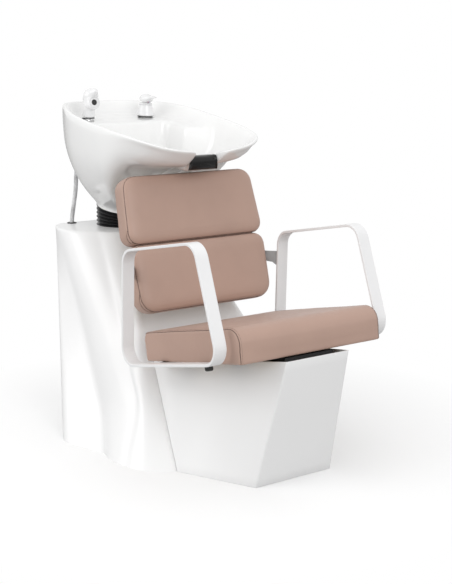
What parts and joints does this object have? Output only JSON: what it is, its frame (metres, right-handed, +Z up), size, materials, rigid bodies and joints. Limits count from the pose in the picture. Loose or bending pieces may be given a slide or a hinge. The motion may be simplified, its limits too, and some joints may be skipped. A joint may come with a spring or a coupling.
{
  "type": "shampoo backwash unit",
  "caption": "Salon backwash unit: padded seat and split back with loop armrests, in front of a pedestal carrying a tilting ceramic basin with mixer and docked handset.",
  "frame": {"origin": "on the floor, in the middle of the unit's length and width", "axes": "+Z up, -Y the way the seated person faces, +X to the seated person's left"},
  "size_m": [0.762, 1.1869, 1.0787],
  "materials": {
    "column_shell": "satin white moulded shell",
    "front_cowl": "satin white moulded shell",
    "floor_frame": "black paint",
    "rear_post": "black paint",
    "front_post_left": "black paint",
    "front_post_right": "black paint",
    "seat_frame": "black paint",
    "seat_board": "plain plywood",
    "seat_cushion": "smooth dusty rose vinyl",
    "arm_bar_front": "black paint",
    "arm_bar_rear": "black paint",
    "arm_bolt_left": "black cap",
    "arm_bolt_right": "black cap",
    "armrest_left": "satin white paint",
    "armrest_right": "satin white paint",
    "arm_bracket_left": "grey paint",
    "arm_bracket_right": "grey paint",
    "back_upright_left": "grey paint",
    "back_upright_right": "grey paint",
    "back_crossbar": "grey paint",
    "back_carrier": "grey paint",
    "back_board_lower": "plain plywood",
    "back_board_upper": "plain plywood",
    "back_cushion_lower": "smooth dusty rose vinyl",
    "back_cushion_upper": "smooth dusty rose vinyl",
    "tilt_yoke": "black paint",
    "tilt_pin": "steel",
    "waste_pipe": "grey pipe",
    "hose_elbow": "brass",
    "shower_hose": "light grey hose",
    "basin": "glossy white glaze",
    "basin_plate": "black paint",
    "neck_rest": "glossy black gel",
    "waste_flange": "polished",
    "handset_gasket": "black gasket",
    "mixer_gasket": "black gasket",
    "handset_sleeve": "polished",
    "mixer_body": "glossy white",
    "bellows": "black pleated rubber",
    "shower_handset": "glossy white",
    "handset_nozzle": "black rubber nozzle",
    "mixer_collar": "glossy white",
    "mixer_lever": "glossy white",
    "service_panel": "satin white moulded panel"
  },
  "bodies": {
    "pedestal": {"column_shell": "column_shell", "front_cowl": "front_cowl", "floor_frame": "floor_frame", "rear_post": "rear_post", "front_post_left": "front_post_left", "front_post_right": "front_post_right", "seat_frame": "seat_frame", "seat_board": "seat_board", "seat_cushion": "seat_cushion", "arm_bar_front": "arm_bar_front", "arm_bar_rear": "arm_bar_rear", "arm_bolt_left": "arm_bolt_left", "arm_bolt_right": "arm_bolt_right", "armrest_left": "armrest_left", "armrest_right": "armrest_right", "arm_bracket_left": "arm_bracket_left", "arm_bracket_right": "arm_bracket_right", "back_upright_left": "back_upright_left", "back_upright_right": "back_upright_right", "back_crossbar": "back_crossbar", "back_carrier": "back_carrier", "back_board_lower": "back_board_lower", "back_board_upper": "back_board_upper", "back_cushion_lower": "back_cushion_lower", "back_cushion_upper": "back_cushion_upper", "tilt_yoke": "tilt_yoke", "tilt_pin": "tilt_pin", "waste_pipe": "waste_pipe", "hose_elbow": "hose_elbow", "shower_hose": "shower_hose"},
    "basin_assembly": {"basin": "basin", "basin_plate": "basin_plate", "neck_rest": "neck_rest", "waste_flange": "waste_flange", "handset_gasket": "handset_gasket", "mixer_gasket": "mixer_gasket", "handset_sleeve": "handset_sleeve", "mixer_body": "mixer_body", "bellows": "bellows"},
    "handset": {"shower_handset": "shower_handset", "handset_nozzle": "handset_nozzle"},
    "mixer_stem": {"mixer_collar": "mixer_collar"},
    "mixer_head": {"mixer_lever": "mixer_lever"},
    "panel": {"service_panel": "service_panel"}
  },
  "joints": [
    {"name": "basin_tilt", "type": "hinge", "parent": "pedestal", "child": "basin_assembly", "pos_m": [0, 0.431, 0.7], "axis": [-1, 0, 0], "range_deg": [0, 10], "deforming": ["bellows", "shower_hose"]},
    {"name": "handset_lift", "type": "slide", "parent": "basin_assembly", "child": "handset", "axis": [0, -0.1392, 0.9903], "range_m": [0, 0.08]},
    {"name": "mixer_turn", "type": "hinge", "parent": "basin_assembly", "child": "mixer_stem", "pos_m": [0.11, 0.45286, 1.01989], "axis": [0, -0.0698, 0.9976], "range_deg": [-40, 40]},
    {"name": "mixer_lift", "type": "hinge", "parent": "mixer_stem", "child": "mixer_head", "pos_m": [0.11, 0.45209, 1.03086], "axis": [-1, 0, 0], "range_deg": [0, 14]},
    {"name": "panel_pull", "type": "slide", "parent": "pedestal", "child": "panel", "axis": [0, 1, 0], "range_m": [0, 0.05]}
  ]
}
